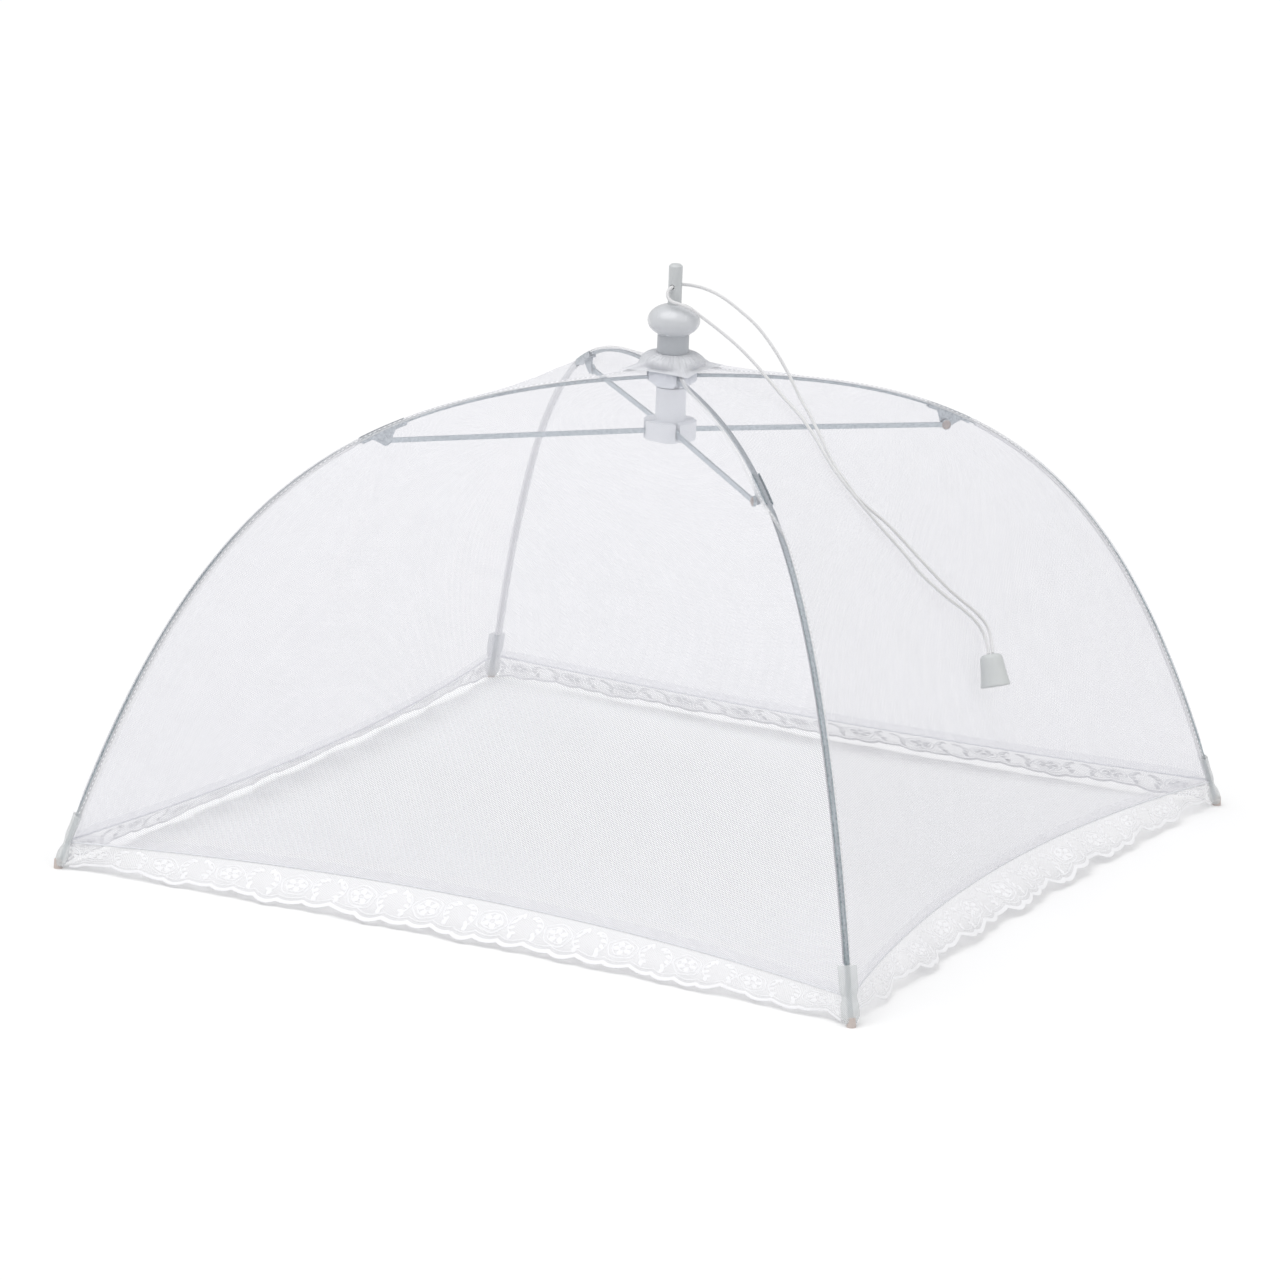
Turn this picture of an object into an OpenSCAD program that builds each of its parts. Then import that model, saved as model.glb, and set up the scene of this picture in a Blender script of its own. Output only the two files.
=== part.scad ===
// Folding mesh food cover: four sprung ribs on a pull-up umbrella hub, under a net canopy with a lace hem.
// Origin at floor level under the hub, +Z up, the four sides facing -Y (front), +X (right), +Y and -X.

/* [Cover] */
// Length of one side, from rib tip to rib tip
side = 430; // [380:10:480]
// Height of the pivots of the ribs above the floor
pivot_h = 236; // [226:1:246]
// How far the middle of each side hangs inwards of the straight line, as a share of the reach
side_bow = 0.08; // [0.04:0.01:0.12]
// How far the middle of each side rises, as a share of the reach
side_lift = 0.012; // [0:0.002:0.02]
// Height of the sewn hem at the corners
hem_h = 12.4; // [10:0.2:14]

/* [Ribs and struts] */
// Width of the rib wire strip
rib_w = 2.2; // [2:0.1:2.4]
// Thickness of the rib wire strip
rib_t = 1.4; // [1.2:0.1:1.6]
// Length of a rib clip along the rib
clip_len = 24; // [20:1:28]
// Thickness of a strut
strut_t = 1.2; // [1:0.1:1.4]
// Height of a strut's section
strut_h = 2.4; // [2.2:0.1:2.8]

/* [Hub and rod] */
// Diameter of the knob
knob_d = 26; // [24:0.5:28]
// Diameter of the collar under the knob
collar_d = 15.6; // [15:0.2:16.4]
// Diameter of the pull rod
rod_d = 6.8; // [6.4:0.1:6.8]
// Diameter of the runner's flange
flange_d = 26; // [25.6:0.2:27]

/* [Cord] */
// Diameter of the pull cord
cord_d = 1.6; // [1.4:0.1:1.6]
// Length of the bell on the end of the cord
bell_len = 16.1; // [15.5:0.1:17]

/* [Hidden] */
$fn = 48;

// Azimuth of each corner and of each side, in degrees from +X
front_left = -135;
front_right = -45;
back_right = 45;
back_left = 135;
front = -90;
right = 0;
back = 90;
left = 180;
corners = [front_left, front_right, back_right, back_left];

reach = side / sqrt(2);
chord = sqrt(0.5);

// A rib's centre line is one cubic Bezier curve in its own upright plane, as [distance from the axis, height]
pivot_r = 9;
rib_start = [pivot_r, pivot_h];
rib_pull_1 = [0.536 * reach, 0.987 * pivot_h];
rib_pull_2 = [0.786 * reach, 0.814 * pivot_h];
rib_end = [reach, 0];
rib_steps = 44;
rib_first = 0.003;
rib_last = 0.994;
eye_r = 2.3;
ring_wire_r = 0.8;
eye_play = 0.08;

// Where along the rib's curve things sit, from 0 at the hub to 1 at the tip
u_clip = 0.354;
u_panel_top = 0.013;
pocket_over_hem = 14;
pocket_end_h = 5;

runner_h = pivot_h - 27;
strut_r = 11;
strut_side = 3.3;
strut_eye_r = 2.6;
rivet_drop = 6.5;
rivet_r = 1.1;

// The net's shell, and how far its edges stay from the rib and from the corner pocket
mesh_t = 0.8;
mesh_gap = 2.0;
seam_gap = 0.6;
seam_ridge = 0.8;
pocket_clear = 7.8;

// Heights up the hub, from the notch that holds the ribs to the top of the rod
notch_low = pivot_h - 4.6;
notch_h = 8.8;
notch_r = 12.4;
notch_taper = 3;
notch_foot_r = 8.4;
spigot_low = notch_low + notch_h;
spigot_d = 10.6;
collar_low = spigot_low + 7.8;
collar_h = 9.4;
knob_low = collar_low + collar_h;
knob_half = 8.4;
knob_sunk = 1.8;
knob_flat = 0.2;
hole_h = pivot_h + 45;
hole_r = 1.2;
rod_top = pivot_h + 56;
rod_low = runner_h - 5;
rod_bevel = 1;
bore_d = rod_d + 0.2;
slot_play = 0.35;
groove_play = 0.06;

flange_low = runner_h - 4;
flange_h = 9;
dome_h = 2.4;
barrel_d = 15;
barrel_top = pivot_h - 5.4;
strut_slot_from = 7.6;

function bezier(u) =
  pow(1 - u, 3) * rib_start + 3 * u * pow(1 - u, 2) * rib_pull_1
  + 3 * u * u * (1 - u) * rib_pull_2 + pow(u, 3) * rib_end;

function unit(v) = v / norm(v);

// The place on the curve that lies at height h, found by halving the stretch it lies in
function u_at_height(h, u0 = 0.5, u1 = 1) =
  let (mid = (u0 + u1) / 2)
    u1 - u0 < 0.0001 ? mid
      : bezier(mid).y > h ? u_at_height(h, mid, u1)
      : u_at_height(h, u0, mid);

u_hem = u_at_height(hem_h);
u_pocket_top = u_at_height(hem_h + pocket_over_hem);
u_pocket_end = u_at_height(pocket_end_h);

// Outward normal of the rib curve
function rib_normal(u) =
  let (d = unit(bezier(min(u + 0.002, 1)) - bezier(max(u - 0.002, 0)))) [-d.y, d.x];

function beside_rib(u, off) = bezier(u) + off * rib_normal(u);

// Outline of a strip that runs along the rib between two offsets from its centre line
function strip(u0, u1, low, high, n) = concat(
  [for (i = [0 : n]) beside_rib(u0 + (u1 - u0) * i / n, low)],
  [for (i = [n : -1 : 0]) beside_rib(u0 + (u1 - u0) * i / n, high)]
);

clip_at = bezier(u_clip);
clip_dir = unit(bezier(u_clip + 0.01) - bezier(u_clip - 0.01));
clip_du = 0.01 * clip_len / norm(bezier(u_clip + 0.01) - bezier(u_clip - 0.01));
rivet_at = clip_at - rivet_drop * rib_normal(u_clip);
strut_span = rivet_at - [strut_r, runner_h];
strut_len = norm(strut_span);
strut_tilt = atan2(strut_span.y, strut_span.x);

// The canopy is gathered at the hub, so near it the net stands higher over the ribs
function gather(u) = 5 * exp(-(bezier(u).x - 14) / 12);

// A point of one side's panel, t from 0 at the side's middle to 1 at the rib, with the side facing +X
function panel_point(u, t, off) =
  let (p = beside_rib(u, off + seam_ridge * pow(abs(t), 16)), r = p.x)
    [r * (chord - side_bow * (1 - t * t)), t * r * chord, p.y + gather(u) + side_lift * r * (1 - t * t)];

function edge_gap(u) = seam_gap + pocket_clear * min(1, max(0, (u - u_pocket_top + 0.12) / 0.08));

mesh_rows = 16;
mesh_cols = 6;

function mesh_grid(off, sign) = [
  for (i = [0 : mesh_rows])
    let (u = u_panel_top + (u_hem - u_panel_top) * pow(i / mesh_rows, 1.1), half = bezier(u).x * chord)
      [for (j = [0 : mesh_cols])
        let (t0 = seam_gap / 2 / half, t1 = 1 - edge_gap(u) / half, t = t0 + (t1 - t0) * j / mesh_cols)
          panel_point(u, sign * t, off)]
];

lace_rows = 2;
lace_cols = 8;
lace_edge = side / 2 - 2;
lace_flare = 5;
lace_floor = 0.4;
lace_corner = 9;
lace_normal = [0.45, 0, 0.65];

function lace_foot(t) =
  [lace_edge - lace_flare * (1 - t * t), t * lace_edge, lace_floor];

function lace_grid(out, sign) = [
  for (i = [0 : lace_rows])
    let (v = 0.04 + 0.96 * i / lace_rows)
      [for (j = [0 : lace_cols])
        let (
          t = sign * (0.002 + (1 - lace_corner / lace_edge) * j / lace_cols),
          top = panel_point(u_hem, t, mesh_gap)
        )
          top + v * (lace_foot(t) - top) + out * lace_normal]
];

// Route of the cord's two strands, from the cross hole of the rod to the bell
route_a = [
  [0, 0, 281], [0, 3.8, 281], [1.8, 6.2, 281], [6, 7.4, 280.8], [12, 6.8, 280.4], [19, 5.4, 279.2],
  [26, 4.4, 276.8], [34, 3.8, 272.6], [44.4, 3.2, 265.8], [54.6, 2.4, 255.8], [63.6, 1.2, 244.6],
  [71, -1.4, 235.4], [80, -7, 228], [92, -19, 221.2], [105, -30.6, 212.2], [114, -33.4, 204.4],
  [121.8, -32.4, 196.2], [131.3, -22.2, 184.5], [140.9, -12.1, 170.2], [145.1, -8.6, 164.5],
  [148.4, -0.6, 156.6], [151.7, 8.8, 148.3], [154.2, 17.1, 142.1], [158.5, 26.9, 133.9],
  [162.3, 30.7, 127.7], [166.1, 27.5, 123.3], [169.5, 22, 120.2], [172.8, 16.5, 118.2]
];
route_b = [
  [0, 0, 281], [0, -3.8, 281], [-0.8, -5.6, 279.4], [-0.4, -6.8, 276.8], [2.2, -7.2, 274.8],
  [6.6, -6.2, 273.6], [11.8, -4, 271.4], [17.4, -2.4, 267.6], [26.6, -1.4, 262], [36.2, -1.4, 256],
  [46, -1.8, 248.8], [55.6, -3, 241], [65.8, -6, 234], [78, -13.4, 228.6], [90, -22.2, 222.2],
  [104.6, -32.8, 212.4], [113.8, -35.6, 204.6], [121.8, -34.6, 196.4], [130.6, -29.7, 185.1],
  [139.8, -19.7, 170.5], [145, -12.8, 160.7], [150.6, -3.1, 151], [153.2, 4.7, 145.1],
  [156.7, 16, 137.3], [160.4, 24.1, 129.6], [163.9, 25.2, 123.6], [167.7, 20.6, 120.2],
  [170.8, 15.3, 117.8]
];
bell_top = [171.8, 15.9, 118];
bell_foot = [176.7, 13, 102.9];
bell_top_r = 5.7;
bell_low_r = 7.3;
cord_rings = 39;
cord_sides = 8;

// A smooth curve through the route's points, s from 0 to the number of its last point
function on_route(p, s) =
  let (
    last = len(p) - 1,
    i = min(floor(s), last - 1),
    f = s - i,
    a = p[max(i - 1, 0)],
    b = p[i],
    c = p[i + 1],
    d = p[min(i + 2, last)]
  )
    b + f * (c - a) / 2 + f * f * (a - 2.5 * b + 2 * c - 0.5 * d)
    + f * f * f * (1.5 * b - 1.5 * c + 0.5 * d - 0.5 * a);

function ring_frame(p, s) =
  let (
    last = len(p) - 1,
    along = s <= 0 ? unit(p[1] - p[0])
      : s >= last ? unit(bell_foot - bell_top)
      : unit(on_route(p, min(s + 0.05, last)) - on_route(p, s - 0.05)),
    across = unit(cross(along, abs(along.y) > 0.9 ? [1, 0, 0] : [0, 1, 0]))
  )
    [across, cross(along, across)];

function tube_points(p, r) = [
  for (k = [0 : cord_rings])
    let (s = (len(p) - 1) * k / cord_rings, at = on_route(p, s), f = ring_frame(p, s))
      for (j = [0 : cord_sides - 1])
        at + r * (cos(360 * j / cord_sides) * f[0] + sin(360 * j / cord_sides) * f[1])
];

function flat(rows) = [for (row = rows) for (p = row) p];

// Closed thin shell between an outer and an inner grid of points; turn = 1 or -1 sets which way it faces
module shell(outer, inner, turn) {
  nr = len(outer) - 1;
  nc = len(outer[0]) - 1;
  w = nc + 1;
  m = (nr + 1) * w;
  function at(layer, i, j) = layer * m + i * w + j;
  quads = concat(
    [for (i = [0 : nr - 1]) for (j = [0 : nc - 1])
      [at(0, i, j), at(0, i, j + 1), at(0, i + 1, j + 1), at(0, i + 1, j)]],
    [for (i = [0 : nr - 1]) for (j = [0 : nc - 1])
      [at(1, i, j), at(1, i + 1, j), at(1, i + 1, j + 1), at(1, i, j + 1)]],
    [for (i = [0 : nr - 1]) [at(0, i, 0), at(0, i + 1, 0), at(1, i + 1, 0), at(1, i, 0)]],
    [for (i = [0 : nr - 1]) [at(0, i, nc), at(1, i, nc), at(1, i + 1, nc), at(0, i + 1, nc)]],
    [for (j = [0 : nc - 1]) [at(0, 0, j), at(1, 0, j), at(1, 0, j + 1), at(0, 0, j + 1)]],
    [for (j = [0 : nc - 1]) [at(0, nr, j), at(0, nr, j + 1), at(1, nr, j + 1), at(1, nr, j)]]
  );
  faces = [
    for (q = quads)
      for (f = [[q[0], q[1], q[2]], [q[0], q[2], q[3]]])
        turn > 0 ? f : [f[2], f[1], f[0]]
  ];
  polyhedron(concat(flat(outer), flat(inner)), faces);
}

// Flat plate in a rib's upright plane, of an outline given as [distance from the axis, height]
module plate(outline, width) {
  rotate([90, 0, 0])
    linear_extrude(width, center = true)
      polygon(outline);
}

module across_pin(at, r, length) {
  translate([at.x, 0, at.y])
    rotate([90, 0, 0])
      cylinder(h = length, r = r, center = true);
}

module knob() {
  color("white")
    translate([0, 0, knob_low])
      rotate_extrude()
        difference() {
          intersection() {
            translate([0, knob_half - knob_sunk])
              scale([knob_d / 2, knob_half])
                circle(r = 1, $fn = 64);
            square([knob_d, 2 * knob_half - knob_sunk - knob_flat]);
          }
          square([bore_d / 2, 3 * knob_half]);
        }
}

module collar() {
  color("gainsboro")
    difference() {
      union() {
        translate([0, 0, collar_low])
          cylinder(h = collar_h, d = collar_d);
        translate([0, 0, spigot_low])
          cylinder(h = collar_low - spigot_low, d = spigot_d);
      }
      translate([0, 0, notch_low])
        cylinder(h = 2 * (knob_low - notch_low), d = bore_d);
    }
}

module top_notch() {
  color("lightgray")
    difference() {
      union() {
        translate([0, 0, notch_low])
          cylinder(h = notch_taper, r1 = notch_foot_r, r2 = notch_r);
        translate([0, 0, notch_low + notch_taper])
          cylinder(h = notch_h - notch_taper, r = notch_r);
      }
      translate([0, 0, notch_low - 1])
        cylinder(h = notch_h + 2, d = bore_d);
      for (a = corners)
        rotate([0, 0, a])
          translate([pivot_r - eye_r - 0.5, -rib_w / 2 - slot_play, notch_low - 1])
            cube([notch_r, rib_w + 2 * slot_play, notch_h + 2]);
      ring(pivot_r, pivot_h, ring_wire_r + groove_play);
    }
}

// Round wire ring about the axis
module ring(r, z, wire_r) {
  translate([0, 0, z])
    rotate_extrude()
      translate([r, 0])
        circle(r = wire_r, $fn = 24);
}

module top_ring() {
  color("silver")
    ring(pivot_r, pivot_h, ring_wire_r);
}

// Gathered net cap that covers the top notch
module top_cap() {
  color("whitesmoke")
    translate([0, 0, pivot_h])
      rotate_extrude()
        polygon([
          [8, 12], [10.4, 11.8], [13, 10.6], [16, 8.6], [21, 7.2],
          [21, 6.6], [15.6, 8], [12.8, 9.8], [10.2, 11], [8, 11.2]
        ]);
}

module pull_rod() {
  color("white")
    difference() {
      union() {
        translate([0, 0, rod_low])
          cylinder(h = rod_top - rod_low - rod_bevel, d = rod_d);
        translate([0, 0, rod_top - rod_bevel])
          cylinder(h = rod_bevel, r1 = rod_d / 2, r2 = rod_d / 2 - rod_bevel);
      }
      translate([0, 0, hole_h])
        rotate([90, 0, 0])
          cylinder(h = 3 * rod_d, r = hole_r, center = true);
    }
}

module runner() {
  color("ghostwhite")
    difference() {
      union() {
        translate([0, 0, flange_low])
          cylinder(h = flange_h, d = flange_d);
        translate([0, 0, flange_low])
          cylinder(h = barrel_top - flange_low, d = barrel_d);
        translate([0, 0, flange_low - dome_h])
          cylinder(h = dome_h, r1 = 5, r2 = 9);
      }
      translate([0, 0, rod_low - 10])
        cylinder(h = 60, d = rod_d);
      for (a = corners)
        rotate([0, 0, a])
          translate([strut_slot_from, -strut_t / 2 - 0.5, flange_low - 6])
            cube([flange_d / 2, strut_t + 1, flange_h + 9]);
      ring(strut_r, runner_h, ring_wire_r + groove_play);
    }
}

module runner_ring() {
  color("silver")
    ring(strut_r, runner_h, ring_wire_r);
}

module rib() {
  color("slategray")
    difference() {
      union() {
        plate(strip(rib_first, rib_last, -rib_t / 2, rib_t / 2, rib_steps), rib_w);
        across_pin(rib_start, eye_r, rib_w);
      }
      across_pin(rib_start, ring_wire_r + eye_play, rib_w + 2);
    }
}

// Folded sheet clip round the rib, with a lug under one side for the strut
module clip() {
  outward = rib_normal(u_clip);
  lug = [
    clip_at - 7 * clip_dir - 1.7 * outward,
    rivet_at - 3 * clip_dir,
    rivet_at - 2.2 * outward,
    rivet_at + 3 * clip_dir,
    clip_at + 7 * clip_dir - 1.7 * outward
  ];
  color("silver")
    union() {
      difference() {
        plate(strip(u_clip - clip_du, u_clip + clip_du, -1.7, 1.2, 8), 3.7);
        plate(strip(u_clip - clip_du - 0.01, u_clip + clip_du + 0.01, -1, 2, 8), rib_w + 0.3);
      }
      translate([0, -1.55, 0])
        plate(lug, 0.6);
    }
}

// Moulded end of the rib, with a flat foot on the floor
module tip() {
  color("rosybrown")
    translate([reach, 0, 0])
      cylinder(h = 4.6, r1 = 2.2, r2 = 1.9);
}

// Flat fabric pocket that the rib's end is pushed into
module pocket() {
  color("white")
    difference() {
      plate(strip(u_pocket_top, u_pocket_end, -1.6, 1.6, 8), 10);
      plate(strip(u_pocket_top - 0.01, u_pocket_end + 0.01, -1, 1, 8), 8.6);
    }
}

// The strut's frame: +X from the runner's ring to the rivet, level with the ring
module along_strut() {
  translate([strut_r, 0, runner_h])
    rotate([0, 0, -asin(strut_side / strut_span.x)])
      rotate([0, -strut_tilt, 0])
        children();
}

module strut() {
  color("lightsteelblue")
    difference() {
      along_strut() {
        translate([0, -strut_t / 2, -strut_h / 2])
          cube([strut_len, strut_t, strut_h]);
        across_pin([0, 0], strut_eye_r, strut_t);
        across_pin([strut_len, 0], strut_eye_r, strut_t);
      }
      across_pin([strut_r, runner_h], ring_wire_r + eye_play, 3 * strut_t);
      along_strut()
        across_pin([strut_len, 0], rivet_r, 3 * strut_t);
    }
}

module rivet() {
  color("rosybrown")
    along_strut() {
      across_pin([strut_len, 0], rivet_r, strut_t);
      translate([strut_len, -strut_t / 2, 0])
        rotate([90, 0, 0])
          rotate_extrude()
            intersection() {
              translate([0, -2.6])
                circle(r = 3.5, $fn = 48);
              square([4, 4]);
            }
    }
}

module half_mesh(a, sign) {
  color("whitesmoke")
    rotate([0, 0, a])
      shell(mesh_grid(mesh_gap + mesh_t, sign), mesh_grid(mesh_gap, sign), sign);
}

module half_lace(a, sign) {
  color("white")
    rotate([0, 0, a])
      shell(lace_grid(1, sign), lace_grid(0, sign), sign);
}

// Round tube of 8 flats along a route, closed at both ends
module cord_tube(p) {
  points = tube_points(p, cord_d / 2);
  last = cord_rings * cord_sides;
  faces = concat(
    [for (k = [0 : cord_rings - 1]) for (j = [0 : cord_sides - 1])
      let (a = k * cord_sides + j, b = k * cord_sides + (j + 1) % cord_sides)
        [a, a + cord_sides, b + cord_sides, b]],
    [[for (j = [0 : cord_sides - 1]) j]],
    [[for (j = [cord_sides - 1 : -1 : 0]) last + j]]
  );
  polyhedron(points, faces);
}

module cord_strand_a() {
  color("snow")
    cord_tube(route_a);
}

module cord_strand_b() {
  color("snow")
    cord_tube(route_b);
}

module cord_bell() {
  axis = unit(bell_foot - bell_top);
  color("white")
    translate(bell_top)
      rotate([0, acos(axis.z), atan2(axis.y, axis.x)])
        rotate_extrude()
          polygon([
            [0, 0], [bell_top_r - 1.8, 0], [bell_top_r - 0.6, 0.8], [bell_top_r, 2.6],
            [bell_top_r + 0.5, 7], [bell_low_r - 0.3, bell_len - 2], [bell_low_r, bell_len],
            [bell_low_r - 1.6, bell_len],
            [bell_low_r - 2.4, bell_len - 3], [0, bell_len - 3]
          ]);
}

module at_corner(a) {
  rotate([0, 0, a])
    children();
}

knob();
collar();
top_notch();
top_ring();
top_cap();
pull_rod();
runner();
runner_ring();
at_corner(front_left) rib();  // rib_front_left
at_corner(front_right) rib();  // rib_front_right
at_corner(back_right) rib();  // rib_back_right
at_corner(back_left) rib();  // rib_back_left
at_corner(front_left) clip();  // clip_front_left
at_corner(front_right) clip();  // clip_front_right
at_corner(back_right) clip();  // clip_back_right
at_corner(back_left) clip();  // clip_back_left
at_corner(front_left) tip();  // tip_front_left
at_corner(front_right) tip();  // tip_front_right
at_corner(back_right) tip();  // tip_back_right
at_corner(back_left) tip();  // tip_back_left
at_corner(front_left) pocket();  // pocket_front_left
at_corner(front_right) pocket();  // pocket_front_right
at_corner(back_right) pocket();  // pocket_back_right
at_corner(back_left) pocket();  // pocket_back_left
at_corner(front_left) strut();  // strut_front_left
at_corner(front_right) strut();  // strut_front_right
at_corner(back_right) strut();  // strut_back_right
at_corner(back_left) strut();  // strut_back_left
at_corner(front_left) rivet();  // rivet_front_left
at_corner(front_right) rivet();  // rivet_front_right
at_corner(back_right) rivet();  // rivet_back_right
at_corner(back_left) rivet();  // rivet_back_left
half_mesh(front, -1);  // mesh_front_l
half_mesh(front, 1);  // mesh_front_r
half_mesh(right, -1);  // mesh_right_f
half_mesh(right, 1);  // mesh_right_b
half_mesh(back, -1);  // mesh_back_r
half_mesh(back, 1);  // mesh_back_l
half_mesh(left, -1);  // mesh_left_b
half_mesh(left, 1);  // mesh_left_f
half_lace(front, -1);  // lace_front_l
half_lace(front, 1);  // lace_front_r
half_lace(right, -1);  // lace_right_f
half_lace(right, 1);  // lace_right_b
half_lace(back, -1);  // lace_back_r
half_lace(back, 1);  // lace_back_l
half_lace(left, -1);  // lace_left_b
half_lace(left, 1);  // lace_left_f
cord_strand_a();
cord_strand_b();
cord_bell();
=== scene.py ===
import math

import bpy
import numpy as np
from mathutils import Matrix, Vector


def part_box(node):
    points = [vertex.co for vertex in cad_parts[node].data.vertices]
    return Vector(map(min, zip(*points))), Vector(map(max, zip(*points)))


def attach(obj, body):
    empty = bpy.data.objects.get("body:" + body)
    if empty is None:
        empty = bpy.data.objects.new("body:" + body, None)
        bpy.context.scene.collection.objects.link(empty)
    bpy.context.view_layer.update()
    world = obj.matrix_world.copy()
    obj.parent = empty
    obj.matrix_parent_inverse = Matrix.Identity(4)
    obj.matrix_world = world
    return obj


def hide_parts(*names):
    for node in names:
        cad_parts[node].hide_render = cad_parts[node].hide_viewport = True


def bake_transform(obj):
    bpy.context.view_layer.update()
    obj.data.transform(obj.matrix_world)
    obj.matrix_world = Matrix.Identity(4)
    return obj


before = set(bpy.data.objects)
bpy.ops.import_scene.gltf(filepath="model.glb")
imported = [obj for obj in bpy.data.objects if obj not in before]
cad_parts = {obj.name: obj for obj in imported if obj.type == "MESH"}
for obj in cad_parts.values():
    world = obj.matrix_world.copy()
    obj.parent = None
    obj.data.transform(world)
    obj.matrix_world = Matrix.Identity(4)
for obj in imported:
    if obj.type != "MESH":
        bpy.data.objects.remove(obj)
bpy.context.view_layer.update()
scene = bpy.context.scene
MM = 0.001


def middle(node):
    low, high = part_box(node)
    return (np.array(low) + np.array(high)) / 2


# ---- Camera ----

def aim_camera(place, target, roll, lens):
    back = (Vector(place) - Vector(target)).normalized()
    right = Vector((0, 0, 1)).cross(back).normalized()
    up = back.cross(right)
    turned = math.cos(roll) * right + math.sin(roll) * up
    upward = back.cross(turned)
    data = bpy.data.cameras.new("camera")
    data.lens = lens
    data.sensor_width = 36
    data.clip_end = 60
    camera = bpy.data.objects.new("camera", data)
    scene.collection.objects.link(camera)
    turn = Matrix((turned, upward, back)).transposed().to_4x4()
    camera.matrix_world = Matrix.Translation(place) @ turn
    scene.camera = camera


aim_camera(place=(1.3239, -2.5735, 0.8739), target=(-0.0096, -0.0050, 0.1011),
           roll=math.radians(2.12), lens=169.4)


# ---- Mesh helpers ----

def new_piece(name, points, faces, uv=None):
    """Mesh object of these points and faces, smooth shaded; uv holds a pair per point, in metres of cloth."""
    mesh = bpy.data.meshes.new(name)
    mesh.from_pydata([tuple(map(float, p)) for p in points], [], [tuple(map(int, f)) for f in faces])
    mesh.validate()
    mesh.shade_smooth()
    if uv is not None:
        loops = np.zeros(len(mesh.loops), int)
        mesh.loops.foreach_get("vertex_index", loops)
        layer = mesh.uv_layers.new(name="cloth")
        layer.data.foreach_set("uv", np.array(uv, float)[loops].ravel())
    piece = bpy.data.objects.new(name, mesh)
    scene.collection.objects.link(piece)
    return piece


def grid_faces(rows, cols, start=0, closed=False, turn=False):
    """Quads of a grid of rows x cols points; closed joins the last column to the first."""
    faces = []
    for i in range(rows - 1):
        for j in range(cols if closed else cols - 1):
            k = (j + 1) % cols
            here, below = start + i * cols, start + (i + 1) * cols
            quad = [here + j, here + k, below + k, below + j]
            faces.append(quad[::-1] if turn else quad)
    return faces


def smooth_line(points, count):
    """Catmull-Rom curve through the points, as the CAD cord's, in count steps of equal parameter."""
    p = np.array(points, float)
    last = len(p) - 1
    found = []
    for s in np.linspace(0, last, count):
        i = min(int(s), last - 1)
        f = s - i
        a, b, c, d = p[max(i - 1, 0)], p[i], p[i + 1], p[min(i + 2, last)]
        found.append(b + f * (c - a) / 2 + f * f * (a - 2.5 * b + 2 * c - 0.5 * d)
                     + f ** 3 * (1.5 * b - 1.5 * c + 0.5 * d - 0.5 * a))
    return np.array(found)


def arc_lengths(line):
    return np.concatenate([[0], np.cumsum(np.linalg.norm(np.diff(line, axis=0), axis=1))])


TUBE_SIDES = 12


def tube(name, line, radius, sides=TUBE_SIDES):
    """Round tube along a line, its rings carried along without twisting; UV is (round, along) in metres."""
    tangents = np.gradient(line, axis=0)
    tangents /= np.linalg.norm(tangents, axis=1)[:, None]
    across = np.cross(tangents[0], (0.3, 0.2, 1))
    points, uv = [], []
    lengths = arc_lengths(line)
    for k, (at, along) in enumerate(zip(line, tangents)):
        across = across - along * (across @ along)
        across /= np.linalg.norm(across)
        other = np.cross(along, across)
        for j in range(sides):
            a = 2 * math.pi * j / sides
            points.append(at + radius * (math.cos(a) * across + math.sin(a) * other))
            uv.append((a * radius, lengths[k]))
    faces = grid_faces(len(line), sides, closed=True)
    faces.append(list(range(sides))[::-1])
    faces.append([(len(line) - 1) * sides + j for j in range(sides)])
    return new_piece(name, points, faces, uv)


def turned_piece(name, profile, base, top, around=6 * MM, sides=64):
    """Body of revolution about the line base-top; the profile holds pairs of (radius, distance from base).

    around is the radius that the UV's first value is measured at.
    """
    axis = np.array(top, float) - np.array(base, float)
    axis /= np.linalg.norm(axis)
    one = np.cross(axis, (0.0, 1.0, 0.1))
    one /= np.linalg.norm(one)
    two = np.cross(axis, one)
    points, uv = [], []
    lengths = arc_lengths(np.array(profile, float))
    for (r, h), run in zip(profile, lengths):
        for j in range(sides):
            a = 2 * math.pi * j / sides
            points.append(np.array(base) + h * axis + r * (math.cos(a) * one + math.sin(a) * two))
            uv.append((a * around, run))
    return new_piece(name, points, grid_faces(len(profile), sides, closed=True, turn=True), uv)


def set_weights(piece):
    """Bakes the piece's transform into its mesh."""
    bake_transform(piece)


def smoothstep(x):
    x = np.clip(x, 0, 1)
    return x * x * (3 - 2 * x)


# ---- Cord: a loop through the rod's cross hole and two free strands that both end in the bell ----

CORD_D = 1.6 * MM
KNOB_RIM = 12.5 * MM
STEPS_PER_POINT = 9
route_a = [
    [0, 0, 281], [0, 3.8, 281], [1.8, 6.2, 281], [6, 7.4, 280.8], [12, 6.8, 280.4], [19, 5.4, 279.2],
    [26, 4.4, 276.8], [34, 3.8, 272.6], [44.4, 3.2, 265.8], [54.6, 2.4, 255.8], [63.6, 1.2, 244.6],
    [71, -1.4, 235.4], [80, -7, 228], [92, -19, 221.2], [105, -30.6, 212.2], [114, -33.4, 204.4],
    [121.8, -32.4, 196.2], [131.3, -22.2, 184.5], [140.9, -12.1, 170.2], [145.1, -8.6, 164.5],
    [148.4, -0.6, 156.6], [151.7, 8.8, 148.3], [154.2, 17.1, 142.1], [158.5, 26.9, 133.9],
    [162.3, 30.7, 127.7], [166.1, 27.5, 123.3], [169.5, 22, 120.2], [172.8, 16.5, 118.2],
]
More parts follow.
